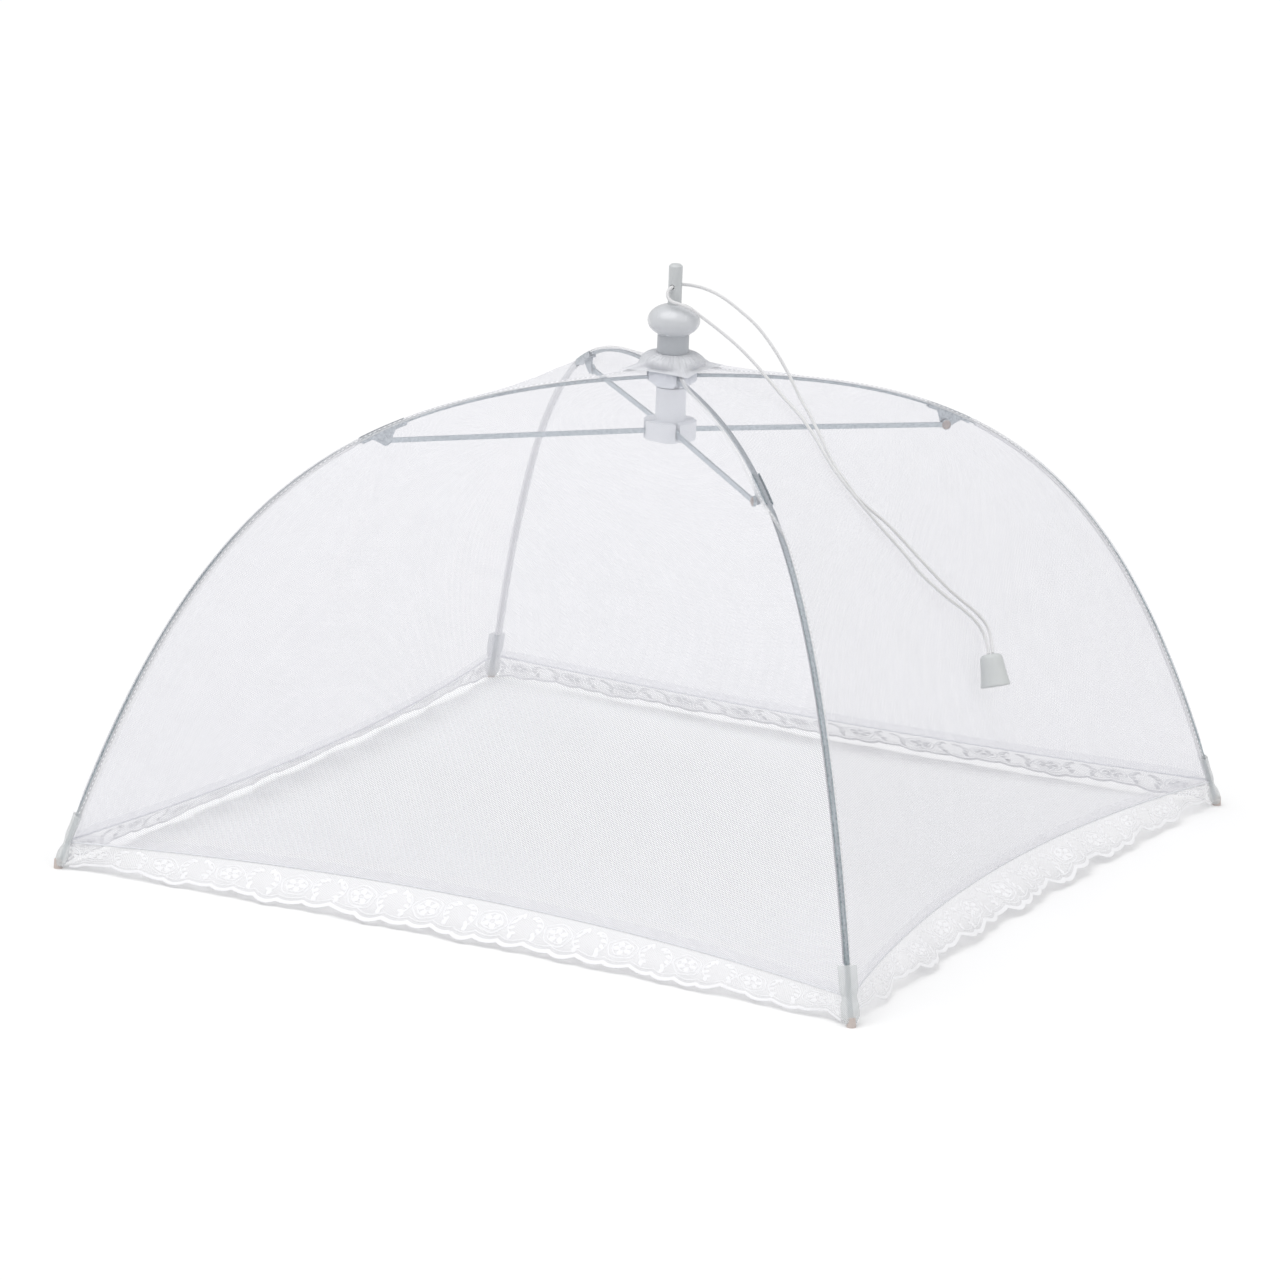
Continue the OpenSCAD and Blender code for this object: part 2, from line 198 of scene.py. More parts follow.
route_b = [
    [0, 0, 281], [0, -3.8, 281], [-0.8, -5.6, 279.4], [-0.4, -6.8, 276.8], [2.2, -7.2, 274.8],
    [6.6, -6.2, 273.6], [11.8, -4, 271.4], [17.4, -2.4, 267.6], [26.6, -1.4, 262], [36.2, -1.4, 256],
    [46, -1.8, 248.8], [55.6, -3, 241], [65.8, -6, 234], [78, -13.4, 228.6], [90, -22.2, 222.2],
    [104.6, -32.8, 212.4], [113.8, -35.6, 204.6], [121.8, -34.6, 196.4], [130.6, -29.7, 185.1],
    [139.8, -19.7, 170.5], [145, -12.8, 160.7], [150.6, -3.1, 151], [153.2, 4.7, 145.1],
    [156.7, 16, 137.3], [160.4, 24.1, 129.6], [163.9, 25.2, 123.6], [167.7, 20.6, 120.2],
    [170.8, 15.3, 117.8],
]
bell_top = np.array([171.8, 15.9, 118]) * MM
bell_foot = np.array([176.7, 13, 102.9]) * MM

line_a = smooth_line(np.array(route_a) * MM, STEPS_PER_POINT * len(route_a))
line_b = smooth_line(np.array(route_b) * MM, STEPS_PER_POINT * len(route_b))


def knob_edge(line):
    """Index of the line's first point beyond the knob's rim."""
    return int(np.argmax(np.hypot(line[:, 0], line[:, 1]) > KNOB_RIM))


# the loop through the rod's hole, its two ends at the knob's rim
edge_a, edge_b = knob_edge(line_a), knob_edge(line_b)
loop_line = np.concatenate([line_a[:edge_a + 1][::-1], line_b[1:edge_b + 1]])
cord_loop = tube("cord_loop", loop_line, CORD_D / 2)
set_weights(cord_loop)

# the free strands start at the knob's rim and run out to the bell
strands = []
for letter, line, edge in (("a", line_a, edge_a), ("b", line_b, edge_b)):
    free = line[edge:]
    strand = tube("cord_strand_new_" + letter, free, CORD_D / 2)
    set_weights(strand)
    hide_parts("cord_strand_" + letter)
    strands.append((strand, free))

bell_profile = [
    (0.0, 0.0), (2.2, 0.0), (3.4, 0.1), (4.5, 0.5), (5.2, 1.3), (5.6, 2.6), (5.8, 4.4), (6.0, 6.8),
    (6.3, 9.4), (6.7, 12.0), (7.0, 14.0), (7.25, 15.2), (7.2, 15.8), (6.9, 16.05), (6.4, 15.9),
    (6.0, 15.2), (5.2, 13.6), (3.0, 12.4), (0.0, 12.0),
]
bell = turned_piece("bell", [(r * MM, h * MM) for r, h in bell_profile], bell_top, bell_foot)
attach(bell, "cord")
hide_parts("cord_bell")


# ---- The cover's own shapes: the same rib curve and panels as the CAD ----

TOP = middle("top_ring")[2]  # height of the ribs' pivots
REACH = float(np.hypot(*middle("tip_back_right")[:2]))  # from the middle to a rib's tip
CHORD = math.sqrt(0.5)  # from the middle to the side, as a share of the way to the corner
HALF_SIDE = REACH * CHORD
SIDE_BOW, SIDE_LIFT = 0.08, 0.012  # how far the net bows in and up between two ribs
HEM_H = 12.4 * MM  # height of the hem at the ribs
LACE_END = 0.982  # where the lace stops short of the corner, as a share of the half side
NET_OFF = 1.3 * MM  # from the rib's line out to the net
SIDES = {"front": -90, "right": 0, "back": 90, "left": 180}
RIBS = {"front_left": -135, "front_right": -45, "back_right": 45, "back_left": 135}
SIDE_BEFORE = {"front_left": "left", "front_right": "front", "back_right": "right", "back_left": "back"}
SIDE_AFTER = {"front_left": "front", "front_right": "right", "back_right": "back", "back_left": "left"}
# the rib's curve: a cubic Bezier of (distance out, height)
CONTROL = np.array([[9 * MM, TOP], [0.536 * REACH, 0.987 * TOP], [0.786 * REACH, 0.814 * TOP], [REACH, 0]])


def rib_line(u):
    """Point (distance out, height) on the rib, u running from 0 at the hub to 1 at the tip."""
    u = np.asarray(u, float)[..., None]
    return ((1 - u) ** 3 * CONTROL[0] + 3 * u * (1 - u) ** 2 * CONTROL[1]
            + 3 * u * u * (1 - u) * CONTROL[2] + u ** 3 * CONTROL[3])


def beside_rib(u, off):
    """Point at distance off outward from the rib's curve."""
    u = np.asarray(u, float)
    d = rib_line(np.minimum(u + 0.002, 1)) - rib_line(np.maximum(u - 0.002, 0))
    d /= np.linalg.norm(d, axis=-1)[..., None]
    return rib_line(u) + np.asarray(off, float)[..., None] * np.stack([-d[..., 1], d[..., 0]], -1)


def u_at_height(height):
    """How far down the rib it comes to this height."""
    low, high = 0.5, 1.0
    for _ in range(24):
        mid = (low + high) / 2
        low, high = (mid, high) if rib_line(mid)[1] > height else (low, mid)
    return (low + high) / 2


U_HEM = u_at_height(HEM_H)
U_POCKET = u_at_height(HEM_H + 14 * MM)
U_TOP = 0.008
U_CLIP = 0.354
U_FOOT = u_at_height(1.4 * MM)


def spread(*values):
    """The values as arrays of one shape."""
    return np.broadcast_arrays(*(np.asarray(v, float) for v in values))


def panel(u, t, off, side):
    """Point on a side's net: u down the rib, t from -1 to 1 across the side, off outward from the rib."""
    u, t, off = spread(u, t, off)
    p = beside_rib(u, off + 0.3 * MM * np.abs(t) ** 16)
    r, z = p[..., 0], p[..., 1]
    bow = 1 - t * t
    gather = 5 * MM * np.exp(-(rib_line(u)[..., 0] - 14 * MM) / (12 * MM))
    x, y = r * (CHORD - SIDE_BOW * bow), t * r * CHORD
    z = z + gather + SIDE_LIFT * r * bow
    a = math.radians(SIDES[side])
    return np.stack([x * math.cos(a) - y * math.sin(a), x * math.sin(a) + y * math.cos(a), z], -1)


def near_rib(u, s, off, corner):
    """Point on the net at distance s along the cloth from a corner's rib, s > 0 going round anticlockwise."""
    u, s, off = spread(u, s, off)
    half = rib_line(u)[..., 0] * CHORD
    a = panel(u, 1 + np.minimum(s, 0) / half, off, SIDE_BEFORE[corner])
    b = panel(u, -1 + np.maximum(s, 0) / half, off, SIDE_AFTER[corner])
    return np.where((s < 0)[..., None], a, b)


# halves of the four sides: name, side, sign of t, rib that the half is sewn to
HALVES = [
    ("front_l", "front", -1, "rib_front_left"), ("front_r", "front", 1, "rib_front_right"),
    ("right_f", "right", -1, "rib_front_right"), ("right_b", "right", 1, "rib_back_right"),
    ("back_r", "back", -1, "rib_back_right"), ("back_l", "back", 1, "rib_back_left"),
    ("left_b", "left", -1, "rib_back_left"), ("left_f", "left", 1, "rib_front_left"),
]


def join_half(piece):
    """Bakes the transform of a piece of half a side into its mesh."""
    set_weights(piece)


def hem_tuck(u, t):
    """How far the net slips in behind the corner pocket, as a share of its offset."""
    return smoothstep((np.asarray(u) - U_POCKET + 0.02) / 0.03) * smoothstep((np.abs(t) - 0.9) / 0.06)


def ripple(u, t, side):
    """Slight slackness of the stretched net: long soft waves that die out at the ribs and the hem."""
    turn = {"front": 0.4, "right": 1.9, "back": 3.1, "left": 4.4}[side]
    free = (1 - t * t) ** 0.7 * smoothstep((u - 0.05) / 0.2) * smoothstep((1 - u) / 0.08)
    waves = np.sin(9 * t + 3 * u + turn) * np.sin(7 * u - 2 * t + turn)
    waves = waves + 0.5 * np.sin(17 * t - 6 * u + 2 * turn)
    crown = rib_line(u)[..., 0]
    pleats = 0.7 * MM * np.exp(-(crown - 12 * MM) / (16 * MM)) * np.cos(8 * math.pi * t)
    return 0.45 * MM * free * waves + pleats


def net_offset(u, t, side):
    """Distance of the net from the rib's line, with its tuck and ripples."""
    return NET_OFF * (1 - hem_tuck(u, t)) + ripple(u, t, side)


def lace_waves(t, side):
    """Height of the lace's folds, always outward; deeper on the right side, where it is more gathered."""
    depth = {"front": 1.5, "right": 3.8, "back": 1.6, "left": 1.8}[side] * MM
    turn = {"front": 0.7, "right": 2.0, "back": 4.0, "left": 5.2}[side]
    a = np.sin(21 * t + turn)
    b = np.sin(38 * t + 1.7 * turn)
    c = np.sin(9.5 * t + 2.3 * turn)
    return depth * (0.55 + 0.3 * a + 0.22 * b * (0.6 + 0.4 * c)) * smoothstep((1 - np.abs(t)) / 0.08)


def lace_point(t, w, lift, side):
    """Point on the lace trim at t along the side and w from the hem, in shares of the trim's width."""
    t, w, lift = spread(t, w, lift)
    a = math.radians(SIDES[side])
    out = np.array([math.cos(a), math.sin(a), 0])
    along = np.array([-math.sin(a), math.cos(a), 0])
    head = panel(np.full(t.shape, U_HEM), t, NET_OFF, side)
    edge = HALF_SIDE - 2 * MM
    x = edge - 5 * MM * (1 - t * t) + 1.2 * MM * smoothstep((np.abs(t) - 0.93) / 0.07)
    frill, turn = {"front": (0.8, 0.4), "right": (1.4, 2.6), "back": (0.7, 3.3), "left": (0.8, 5.0)}[side]
    wave = np.sin(24 * t + turn) + 0.6 * np.sin(51 * t + 2 * turn)
    free = smoothstep((1 - np.abs(t)) / 0.08)
    x = x + frill * MM * wave * free
    lift_foot = 0.5 * MM + frill * 0.8 * MM * (1.6 - wave) * free
    foot = x[..., None] * out + (t * edge)[..., None] * along + lift_foot[..., None] * np.array([0, 0, 1.0])
    normal = 0.57 * out + np.array([0, 0, 0.82])
    folds = lace_waves(t, side) * np.sin(np.clip(w, 0, 1) * 2.2)
    return head + w[..., None] * (foot - head) + (folds + lift)[..., None] * normal


# ---- Net canopy, hem band and seam ----

NET_ROWS, NET_COLS = 96, 44
HEM_ROWS, HEM_COLS = 5, 120
HEM_BAND = 5 * MM
HEM_END = 0.975
SEAM_POINTS, SEAM_SIDES = 150, 6


def cloth_grid(name, points, uv, turn):
    """Piece of cloth from a grid of points and their flat places."""
    rows, cols = points.shape[:2]
    return new_piece(name, points.reshape(-1, 3), grid_faces(rows, cols, turn=turn), uv.reshape(-1, 2))


def net_half(name, side, sign, rib):
    u = U_TOP + (U_HEM - U_TOP) * np.linspace(0, 1, NET_ROWS) ** 1.15
    U, T = np.meshgrid(u, sign * np.linspace(0, 1, NET_COLS), indexing="ij")
    run = arc_lengths(rib_line(u))[:, None] + 0 * T
    uv = np.stack([T * rib_line(U)[..., 0] * CHORD + 0.5, run], -1)
    net = cloth_grid("net_" + name, panel(U, T, net_offset(U, T, side), side), uv, sign > 0)
    join_half(net)
    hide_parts("mesh_" + name)
    return net


def hem_half(name, side, sign, rib):
    """Doubled band of net above the hem."""
    du = 0.01 / np.linalg.norm(rib_line(U_HEM) - rib_line(U_HEM - 0.01))
    across = sign * np.linspace(0, HEM_END, HEM_COLS)
    B, T = np.meshgrid(np.linspace(HEM_BAND, 0, HEM_ROWS), across, indexing="ij")
    U = U_HEM - B * du
    lift = 0.35 * MM + 0.15 * MM * np.sin(T * 160)
    uv = np.stack([T * HALF_SIDE, B], -1)
    hem = cloth_grid("hem_" + name, panel(U, T, net_offset(U, T, side) + lift, side), uv, sign > 0)
    join_half(hem)
    return hem


def seam_half(name, side, sign, rib):
    """Rolled edge where the lace is sewn to the hem."""
    t = sign * np.linspace(0, LACE_END, SEAM_POINTS)
    line = lace_point(t, 0.0, 0.35 * MM + 0.12 * MM * np.sin(t * 210), side)
    seam = tube("seam_" + name, line, 0.42 * MM, SEAM_SIDES)
    join_half(seam)
    return seam


nets, hems, seams = {}, {}, {}
for half in HALVES:
    nets[half[0]] = net_half(*half)
    hems[half[0]] = hem_half(*half)
    seams[half[0]] = seam_half(*half)


# ---- Lace trim: a fine net ground with raised roses, sprays and a scalloped border ----

MOTIFS = 6
LOBES = 16
LACE_W = 25 * MM
LACE_ROWS, LACE_COLS = 13, 260
ROSE_H, SPRAY_H = 11.2, 10.6  # millimetres down from the hem
BORDER = ((1.2, 2.2, 0.2), (4.4, 0.6, 0.15))  # threads along the edge: distance in, width, height


def scallop(t):
    """Lower edge of the trim, as a share of its width: small uneven lobes, pulled in here and there."""
    run = np.abs(t)
    lobes = np.abs(np.sin(math.pi * LOBES * run + 0.5 * np.sin(11 * run)))
    pull = 0.5 * np.sin(13 * run + 0.6) + 0.5 * np.sin(29 * run + 2.1)
    return 0.885 + 0.085 * lobes ** 0.7 + 0.025 * pull


class Relief:
    """Raised threads and petals on one half of the trim, kept as flat points until they are laid on it."""

    def __init__(self, side, sign):
        self.side, self.sign, self.flat, self.faces = side, sign, [], []

    def add_thread(self, line, width, height, closed=False):
        """Thread along a line of (distance along the half, distance from the hem), in metres."""
        line = np.array(line, float)
        if closed:
            ahead = np.roll(line, -1, 0) - np.roll(line, 1, 0)
        else:
            ahead = np.gradient(line, axis=0)
        ahead /= np.maximum(np.linalg.norm(ahead, axis=1), 1e-9)[:, None]
        across = np.stack([-ahead[:, 1], ahead[:, 0]], -1)
        start, rows = len(self.flat), len(line)
        for k in range(rows):
            for step, up in ((-0.5, 0.1), (0, 1), (0.5, 0.1)):
                self.flat.append([*(line[k] + step * width * across[k]), 0.15 * MM + up * height])
        self.faces += grid_faces(rows, 3, start, turn=self.sign > 0)
        if closed:
            for j in range(2):
                a, b = start + (rows - 1) * 3 + j, start + j
                quad = [a, a + 1, b + 1, b]
                self.faces.append(quad[::-1] if self.sign > 0 else quad)

    def add_petal(self, outline, height):
        """Filled petal, raised in its middle."""
        start = len(self.flat)
        centre = outline.mean(0)
        n = len(outline)
        self.flat.append([*centre, 0.15 * MM + height])
        self.flat += [[*(centre + 0.96 * (q - centre)), 0.16 * MM] for q in outline]
        for k in range(n):
            tri = [start, start + 1 + k, start + 1 + (k + 1) % n]
            self.faces.append(tri[::-1] if self.sign > 0 else tri)

    def make(self, name):
        """Lays the flat points on the lace; gives the piece and each point's place across the side."""
        flat = np.array(self.flat)
        t = self.sign * flat[:, 0] / HALF_SIDE
        points = lace_point(t, flat[:, 1] / LACE_W, flat[:, 2], self.side)
        return new_piece(name, points, self.faces, flat[:, :2]), t


def petal(x, y, length, width, angle, count=14):
    """Closed outline of a leaf or petal with a pointed end, about (x, y) in millimetres."""
    a = np.linspace(0, 2 * math.pi, count, endpoint=False)
    px = length / 2 * np.cos(a)
    py = width / 2 * np.sin(a) * (1 - 0.35 * np.cos(a))
    turned_x = px * math.cos(angle) - py * math.sin(angle)
    turned_y = px * math.sin(angle) + py * math.cos(angle)
    return np.stack([x + turned_x, y + turned_y], -1)


def rose(x, y, turn):
    """Lines and petals of one rose, in millimetres along the trim and down from the hem."""
    rings, leaves = [], []
    for rx, ry, n in ((7.6, 6.6, 36), (5.4, 4.6, 28), (1.8, 1.6, 14)):
        a = np.linspace(0, 2 * math.pi, n, endpoint=False)
        wave = 1 + 0.05 * np.cos(5 * a + turn)
        rings.append(np.stack([x + rx * wave * np.cos(a), y + ry * wave * np.sin(a)], -1))
    for k in range(5):
        a = 2 * math.pi * k / 5 + turn
        leaves.append(petal(x + 3.7 * math.cos(a), y + 3.2 * math.sin(a), 3.2, 2.5, a))
    return rings, leaves


def spray(x, y, way):
    """Curved stem with leaves beside a rose; way is -1 or 1."""
    a = np.linspace(-1.9, 1.1, 22)
    stem = np.stack([x + way * (10.6 - 1.6 * np.cos(1.3 * a)), y + 6.4 * np.sin(a)], -1)
    stem[:, 0] += way * 2.2 * np.sin(a * 0.9) ** 2
    leaves = []
    for k in (3, 7, 11, 15, 19):
        leaves.append(petal(stem[k, 0] + way * 1.7, stem[k, 1] + 0.4, 3.4, 1.5, 0.9 * way + 0.12 * k))
    leaves.append(petal(stem[-1, 0], stem[-1, 1] + 1.4, 3.2, 1.9, 1.3 * way))
    return stem, leaves


def lace_half(name, side, sign, rib):
    """Net ground of the trim, gathered and scalloped."""
    t = sign * np.linspace(0, LACE_END, LACE_COLS)
    W, T = np.meshgrid(np.linspace(0, 1, LACE_ROWS), t, indexing="ij")
    uv = np.stack([T * HALF_SIDE, W * scallop(T) * LACE_W], -1)
    lace = cloth_grid("lace_trim_" + name, lace_point(T, W * scallop(T), 0.0, side), uv, sign > 0)
    join_half(lace)
    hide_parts("lace_" + name)
    return lace


def within_trim(outline):
    return outline[:, 0].max() * MM < LACE_END * HALF_SIDE


def roses_half(name, side, sign, rib):
    """Raised roses with a spray on each side, and the border threads that follow the scallops."""
    relief = Relief(side, sign)
    pitch = HALF_SIDE / MOTIFS / MM
    for k in range(MOTIFS):
        x = (k + 0.5) * pitch
        rings, leaves = rose(x, ROSE_H, 0.9 * k)
        for way in (-1, 1):
            stem, more = spray(x, SPRAY_H, way)
            if within_trim(stem):
                relief.add_thread(stem * MM, 0.7 * MM, 0.15 * MM)
            leaves += more
        for ring in rings:
            relief.add_thread(ring * MM, 0.7 * MM, 0.15 * MM, closed=True)
        for leaf in filter(within_trim, leaves):
            relief.add_thread(leaf * MM, 0.5 * MM, 0.15 * MM, closed=True)
            relief.add_petal(leaf * MM, 0.12 * MM)
    run = np.linspace(0.001, LACE_END, 420)
    for inset, width, height in BORDER:
        edge = scallop(run) * LACE_W - inset * MM
        relief.add_thread(np.stack([run * HALF_SIDE, edge], -1), width * MM, height * MM)
    roses, t = relief.make("lace_roses_" + name)
    join_half(roses)
    return roses


lace_pieces, rose_pieces = {}, {}
for half in HALVES:
    lace_pieces[half[0]] = lace_half(*half)
    rose_pieces[half[0]] = roses_half(*half)


# ---- Gathered net round the hub, seam tapes over the ribs, corner pockets ----

CONE_ROWS, CONE_COLS = 30, 60  # columns for each side
CONE_LIFT = 3.0 * MM


def gathered_cone():
    """Net gathered under the collar: a soft shoulder over the notch, then fine pleats that die away."""
    f = np.linspace(0, 1, CONE_ROWS)[:, None]
    side_t = np.linspace(-1, 1, CONE_COLS, endpoint=False)
    crown = np.interp(f[:, 0], [0, 0.25, 0.45, 0.7, 1], [8.1, 11.8, 15.0, 19.5, 26.0]) * MM
    dome = TOP + np.interp(f[:, 0], [0, 0.12, 0.25, 0.35, 0.45, 0.55, 0.7, 1],
                           [11.9, 12.0, 11.6, 10.8, 9.6, 8.2, 6.6, 5.0]) * MM
    near_hub = np.linspace(0, 0.2, 200)
    u = np.interp(crown, rib_line(near_hub)[:, 0], near_hub)[:, None]
    columns = []
    for side in SIDES:
        out_t = side_t[None, :] + 0 * f
        outer = panel(u, out_t, CONE_LIFT, side)
        a = math.radians(SIDES[side]) + np.arctan2(out_t, 1.0)
        ring = np.stack([crown[:, None] * np.cos(a), crown[:, None] * np.sin(a), dome[:, None] + 0 * a], -1)
        k = smoothstep((f - 0.42) / 0.45)[..., None]
        columns.append(ring * (1 - k) + outer * k)
    points = np.concatenate(columns, 1)
    a = np.arctan2(points[..., 1], points[..., 0])
    fade = np.exp(-((f - 0.4) / 0.3) ** 2)
    pleat = (0.22 * np.sin(34 * a + 1.4 * np.sin(5 * a)) + 0.12 * np.sin(57 * a + 2)) * MM * fade
    points[..., 0] += 0.5 * pleat * np.cos(a)
    points[..., 1] += 0.5 * pleat * np.sin(a)
    points[..., 2] += pleat
    uv = np.stack([a * 0.018, 0.022 * f + 0 * a], -1)
    faces = grid_faces(CONE_ROWS, points.shape[1], closed=True, turn=True)
    return new_piece("net_gather", points.reshape(-1, 3), faces, uv.reshape(-1, 2))


cone = gathered_cone()
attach(cone, "hub")
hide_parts("top_cap")

# how far each seam tape has rolled to one side of its rib, above the clip and below it, in millimetres
TAPE_SHIFT = {
    "front_left": (3.0, 3.6), "front_right": (-5.4, 4.0),
    "back_right": (-3.6, -4.0), "back_left": (1.2, -2.6),
}
TAPE_ROWS, SLEEVE_ROWS = 150, 110
# cross sections as (distance beside the rib, height), the tape's height counted from the net
TAPE_SECTION = np.array([(-1.75, 0.25), (-1.2, 0.55), (-0.4, 0.65), (0.4, 0.65), (1.2, 0.55),
                         (1.75, 0.25)]) * MM
SLEEVE_SECTION = np.array([(-3.0, 1.1), (-2.3, 0.1), (-1.3, -1.2), (0, -1.5), (1.3, -1.2), (2.3, 0.1),
                           (3.0, 1.1)]) * MM
STITCH_PITCH = 2.6 * MM
POCKET_ROWS, POCKET_COLS = 40, 28


def tape_shift(u, corner):
    """How far the seam tape lies to one side of its rib."""
    above, below = TAPE_SHIFT[corner]
    shift = (above + (below - above) * smoothstep((u - U_CLIP - 0.02) / 0.12)) * MM
    shift = shift * smoothstep((u + 0.02) / 0.1) * (1 - 0.45 * smoothstep((u - 0.93) / 0.05))
    return shift + 0.25 * MM * np.sin(31 * u) * smoothstep((u - 0.1) / 0.1)


def along_rib(name, corner, u, beside, off):
    """Strip of cloth along a rib, from each row's places beside the rib and outward from it."""
    U = np.broadcast_to(u[:, None], beside.shape)
    uv = np.stack([beside, arc_lengths(rib_line(u))[:, None] + 0 * beside], -1)
    strip = cloth_grid(name + corner, near_rib(U, beside, off, corner), uv, False)
    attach(strip, "rib_" + corner)
    return strip


def seam_tape(corner, u):
    beside = tape_shift(u, corner)[:, None] + TAPE_SECTION[None, :, 0]
    return along_rib("seam_tape_", corner, u, beside, NET_OFF + TAPE_SECTION[None, :, 1])


def rib_sleeve(corner):
    """Sleeve of the same tape that holds the rib from inside, below the clip."""
    u = np.linspace(U_CLIP + 0.05, U_POCKET, SLEEVE_ROWS)
    beside = SLEEVE_SECTION[None, :, 0] + 0 * u[:, None]
    return along_rib("rib_sleeve_", corner, u, beside, SLEEVE_SECTION[None, :, 1])


def tape_stitches(corner, u):
    """Running stitches along the tape, each a small ridge five points long and three wide."""
    runs = arc_lengths(rib_line(u))
    centres = np.arange(6 * MM, runs[-1] - 3 * MM, STITCH_PITCH)
    step = np.array([-2, -1, 0, 1, 2])
    at = np.interp(centres[:, None] + step * 0.42 * MM, runs, u)[..., None] + np.zeros(3)
    thick = np.array([0.1, 0.85, 1, 0.85, 0.1])[None, :, None]
    beside = np.interp(at, u, tape_shift(u, corner)) + np.array([-0.2, 0, 0.2]) * thick * MM
    over = NET_OFF + 0.67 * MM + np.array([0, 0.22, 0]) * thick * MM + 0 * at
    points = near_rib(at, beside, over, corner).reshape(-1, 3)
    faces = sum((grid_faces(5, 3, 15 * k) for k in range(len(centres))), [])
    stitches = new_piece("tape_stitches_" + corner, points, faces)
    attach(stitches, "rib_" + corner)
    return stitches


def corner_pocket(corner):
    """Flat fabric pocket round the rib's end, creased where the hem crosses it."""
    a = math.radians(RIBS[corner])
    points, uv = [], []
    for f, u in zip(np.linspace(0, 1, POCKET_ROWS), np.linspace(U_POCKET, U_FOOT, POCKET_ROWS)):
        centre = rib_line(u)
        normal = beside_rib(u, 1.0) - centre
        waist = math.exp(-((f - 0.56) / 0.09) ** 2)
        foot = smoothstep((f - 0.6) / 0.2)
        half_w = (4.6 - 0.3 * f - 0.8 * waist - 1.6 * smoothstep((f - 0.86) / 0.14)) * MM
        half_t = 1.6 - 0.2 * waist + 1.0 * foot - 0.8 * smoothstep((f - 0.93) / 0.07) + 0.15 * (f < 0.04)
        half_t *= MM
        twist = 0.14 * math.sin(3.2 * f) - 0.25 * waist
        for j in range(POCKET_COLS):
            b = 2 * math.pi * j / POCKET_COLS
            wide = half_w * math.copysign(abs(math.cos(b)) ** 0.7, math.cos(b))
            thick = half_t * math.copysign(abs(math.sin(b)) ** 0.8, math.sin(b))
            crease = 0.3 * MM * math.sin(12 * f + wide / (1.1 * MM)) * math.exp(-((f - 0.5) / 0.2) ** 2)
            turned_wide = wide * math.cos(twist) - thick * math.sin(twist)
            turned_thick = wide * math.sin(twist) * 0.4 + thick + crease
            r, z = centre + turned_thick * normal
            points.append((r * math.cos(a) - turned_wide * math.sin(a),
                           r * math.sin(a) + turned_wide * math.cos(a), z))
            uv.append((turned_wide, f * 0.024))
    faces = grid_faces(POCKET_ROWS, POCKET_COLS, closed=True)
    faces.append([(POCKET_ROWS - 1) * POCKET_COLS + j for j in range(POCKET_COLS)])
    pocket = new_piece("corner_pocket_" + corner, points, faces, uv)
    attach(pocket, "rib_" + corner)
    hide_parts("pocket_" + corner)
    return pocket


tapes, sleeves, stitches, pockets = {}, {}, {}, {}
tape_u = np.linspace(0.028, U_POCKET + 0.004, TAPE_ROWS)
for corner in RIBS:
    tapes[corner] = seam_tape(corner, tape_u)
    sleeves[corner] = rib_sleeve(corner)
    stitches[corner] = tape_stitches(corner, tape_u)
    pockets[corner] = corner_pocket(corner)


# ---- Materials ----

def new_material(name):
    m = bpy.data.materials.new(name)
    m.use_nodes = True
    return m, m.node_tree, m.node_tree.nodes["Principled BSDF"]


def put(node, **values):
    """Sets a node's inputs by name, with _ for a space."""
    for key, value in values.items():
        node.inputs[key.replace("_", " ")].default_value = value


def place_of(tree):
    """The piece's own coordinates."""
    return tree.nodes.new("ShaderNodeTexCoord").outputs["Object"]


def cloth_place(tree):
    """The cloth's flat coordinates, in metres."""
    where = tree.nodes.new("ShaderNodeUVMap")
    where.uv_map = "cloth"
    return where.outputs["UV"]


def noise(tree, place, scale, detail=2):
    node = tree.nodes.new("ShaderNodeTexNoise")
    put(node, Scale=scale, Detail=detail)
    tree.links.new(place, node.inputs["Vector"])
    return node.outputs["Fac"]


def tone(tree, shader, amount, dark, light, start, end):
    """Base colour that runs from dark to light as the amount goes from start to end."""
    ramp = tree.nodes.new("ShaderNodeValToRGB")
    for stop, at, colour in zip(ramp.color_ramp.elements, (start, end), (dark, light)):
        stop.position = at
        stop.color = (*colour, 1)
    tree.links.new(amount, ramp.inputs["Fac"])
    tree.links.new(ramp.outputs["Color"], shader.inputs["Base Color"])


def darker(colour, step):
    return [max(0, c - step) for c in colour]


def mapped(tree, amount, low, high, start=0.0, end=1.0):
    """The amount from start to end, taken to the range from low to high."""
    node = tree.nodes.new("ShaderNodeMapRange")
    put(node, From_Min=start, From_Max=end, To_Min=low, To_Max=high)
    tree.links.new(amount, node.inputs["Value"])
    return node.outputs["Result"]


def emboss(tree, shader, height, strength, distance=0.1 * MM):
    bump = tree.nodes.new("ShaderNodeBump")
    put(bump, Strength=strength, Distance=distance)
    tree.links.new(height, bump.inputs["Height"])
    tree.links.new(bump.outputs["Normal"], shader.inputs["Normal"])


def math_node(tree, operation, a, b=None):
    node = tree.nodes.new("ShaderNodeMath")
    node.operation = operation
    for socket, value in zip(node.inputs, (a, b)):
        if value is None:
            continue
        if isinstance(value, (int, float)):
            socket.default_value = value
        else:
            tree.links.new(value, socket)
    return node.outputs[0]


def split_place(tree):
    split = tree.nodes.new("ShaderNodeSeparateXYZ")
    tree.links.new(cloth_place(tree), split.inputs["Vector"])
    return split.outputs["X"], split.outputs["Y"]


def plane_wave(tree, x, y, kx, ky, shape):
    """Sine or cosine of kx * x + ky * y."""
    run = math_node(tree, "ADD", math_node(tree, "MULTIPLY", x, kx), math_node(tree, "MULTIPLY", y, ky))
    return math_node(tree, shape, run)


